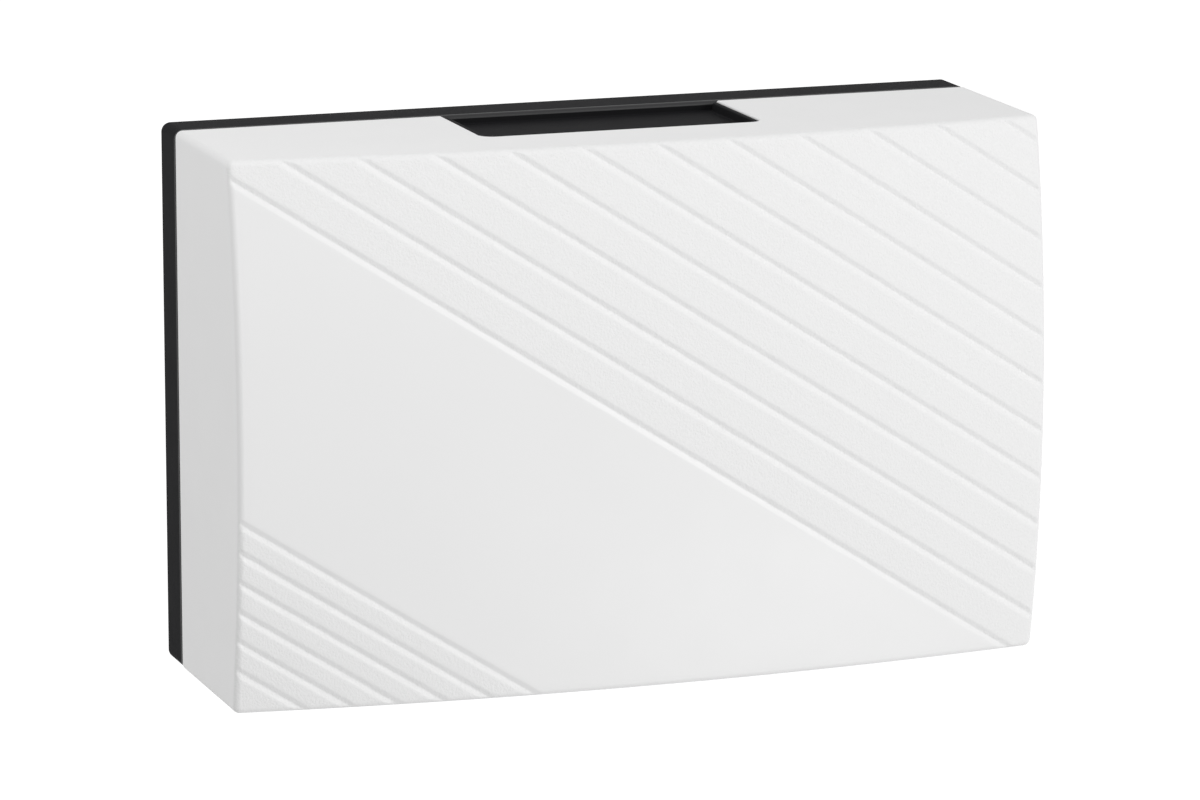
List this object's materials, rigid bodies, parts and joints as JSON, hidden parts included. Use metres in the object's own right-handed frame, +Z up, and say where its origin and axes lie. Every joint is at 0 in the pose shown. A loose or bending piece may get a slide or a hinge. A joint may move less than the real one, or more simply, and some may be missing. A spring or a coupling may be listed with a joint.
{
  "type": "doorbell chime box",
  "caption": "Wall-hung two-note door chime: black base and pull-off bowed white cover with slanting grooves, over a solenoid plunger that strikes two tone bars.",
  "frame": {"origin": "middle of the base's back face, which lies on the wall", "axes": "+Y into the wall, so the front faces -Y; +X to the right as seen from the room; +Z up"},
  "size_m": [0.18, 0.0639, 0.117],
  "materials": {
    "cover_white": "satin white moulding with grained bands",
    "base_black": "satin black moulding",
    "yoke_steel": "zinc plated pressed sheet",
    "bobbin_nylon": "natural nylon",
    "copper_wire": "enamelled copper wire",
    "coil_tape": "yellow insulating tape",
    "screw_steel": "bright zinc plate",
    "plunger_steel": "ground steel",
    "striker_nylon": "natural nylon",
    "spring_steel": "bright spring wire",
    "tone_steel": "nickel plated steel",
    "grommet_rubber": "soft black rubber",
    "cell_jacket": "plain printed jacket over a metal can",
    "contact_plate": "nickel plated spring sheet",
    "terminal_black": "moulded black phenolic",
    "terminal_brass": "bright brass",
    "lead_black": "soft insulation",
    "lead_red": "soft insulation"
  },
  "bodies": {
    "base": {"rear_base": "base_black", "solenoid_yoke": "yoke_steel", "coil_bobbin": "bobbin_nylon", "coil_winding": "copper_wire", "coil_tape": "coil_tape", "yoke_screws": "screw_steel", "return_spring": "spring_steel", "tone_bar_left": "tone_steel", "tone_bar_right": "tone_steel", "grommet_left_upper": "grommet_rubber", "grommet_left_lower": "grommet_rubber", "grommet_right_upper": "grommet_rubber", "grommet_right_lower": "grommet_rubber", "hanger_pins": "screw_steel", "cell_left_lower": "cell_jacket", "cell_left_upper": "cell_jacket", "cell_right_lower": "cell_jacket", "cell_right_upper": "cell_jacket", "contact_left_lower": "contact_plate", "contact_left_upper": "contact_plate", "contact_right_lower": "contact_plate", "contact_right_upper": "contact_plate", "contact_spring_left": "spring_steel", "contact_spring_right": "spring_steel", "terminal_block": "terminal_black", "terminal_clamps": "terminal_brass", "terminal_screws": "terminal_brass", "block_screws": "screw_steel", "coil_lead_left": "lead_red", "coil_lead_right": "lead_red", "battery_lead_left": "lead_black", "battery_lead_right": "lead_red", "series_lead": "lead_black"},
    "cover": {"front_cover": "cover_white"},
    "plunger": {"plunger_core": "plunger_steel", "striker_left": "striker_nylon", "striker_right": "striker_nylon"}
  },
  "joints": [
    {"name": "cover_pull", "type": "slide", "parent": "base", "child": "cover", "axis": [0, -1, 0], "range_m": [0, 0.1]},
    {"name": "plunger_slide", "type": "slide", "parent": "base", "child": "plunger", "axis": [-1, 0, 0], "range_m": [-0.002, 0.012], "stiffness_N_per_m": 40, "deforming": ["return_spring"]}
  ]
}
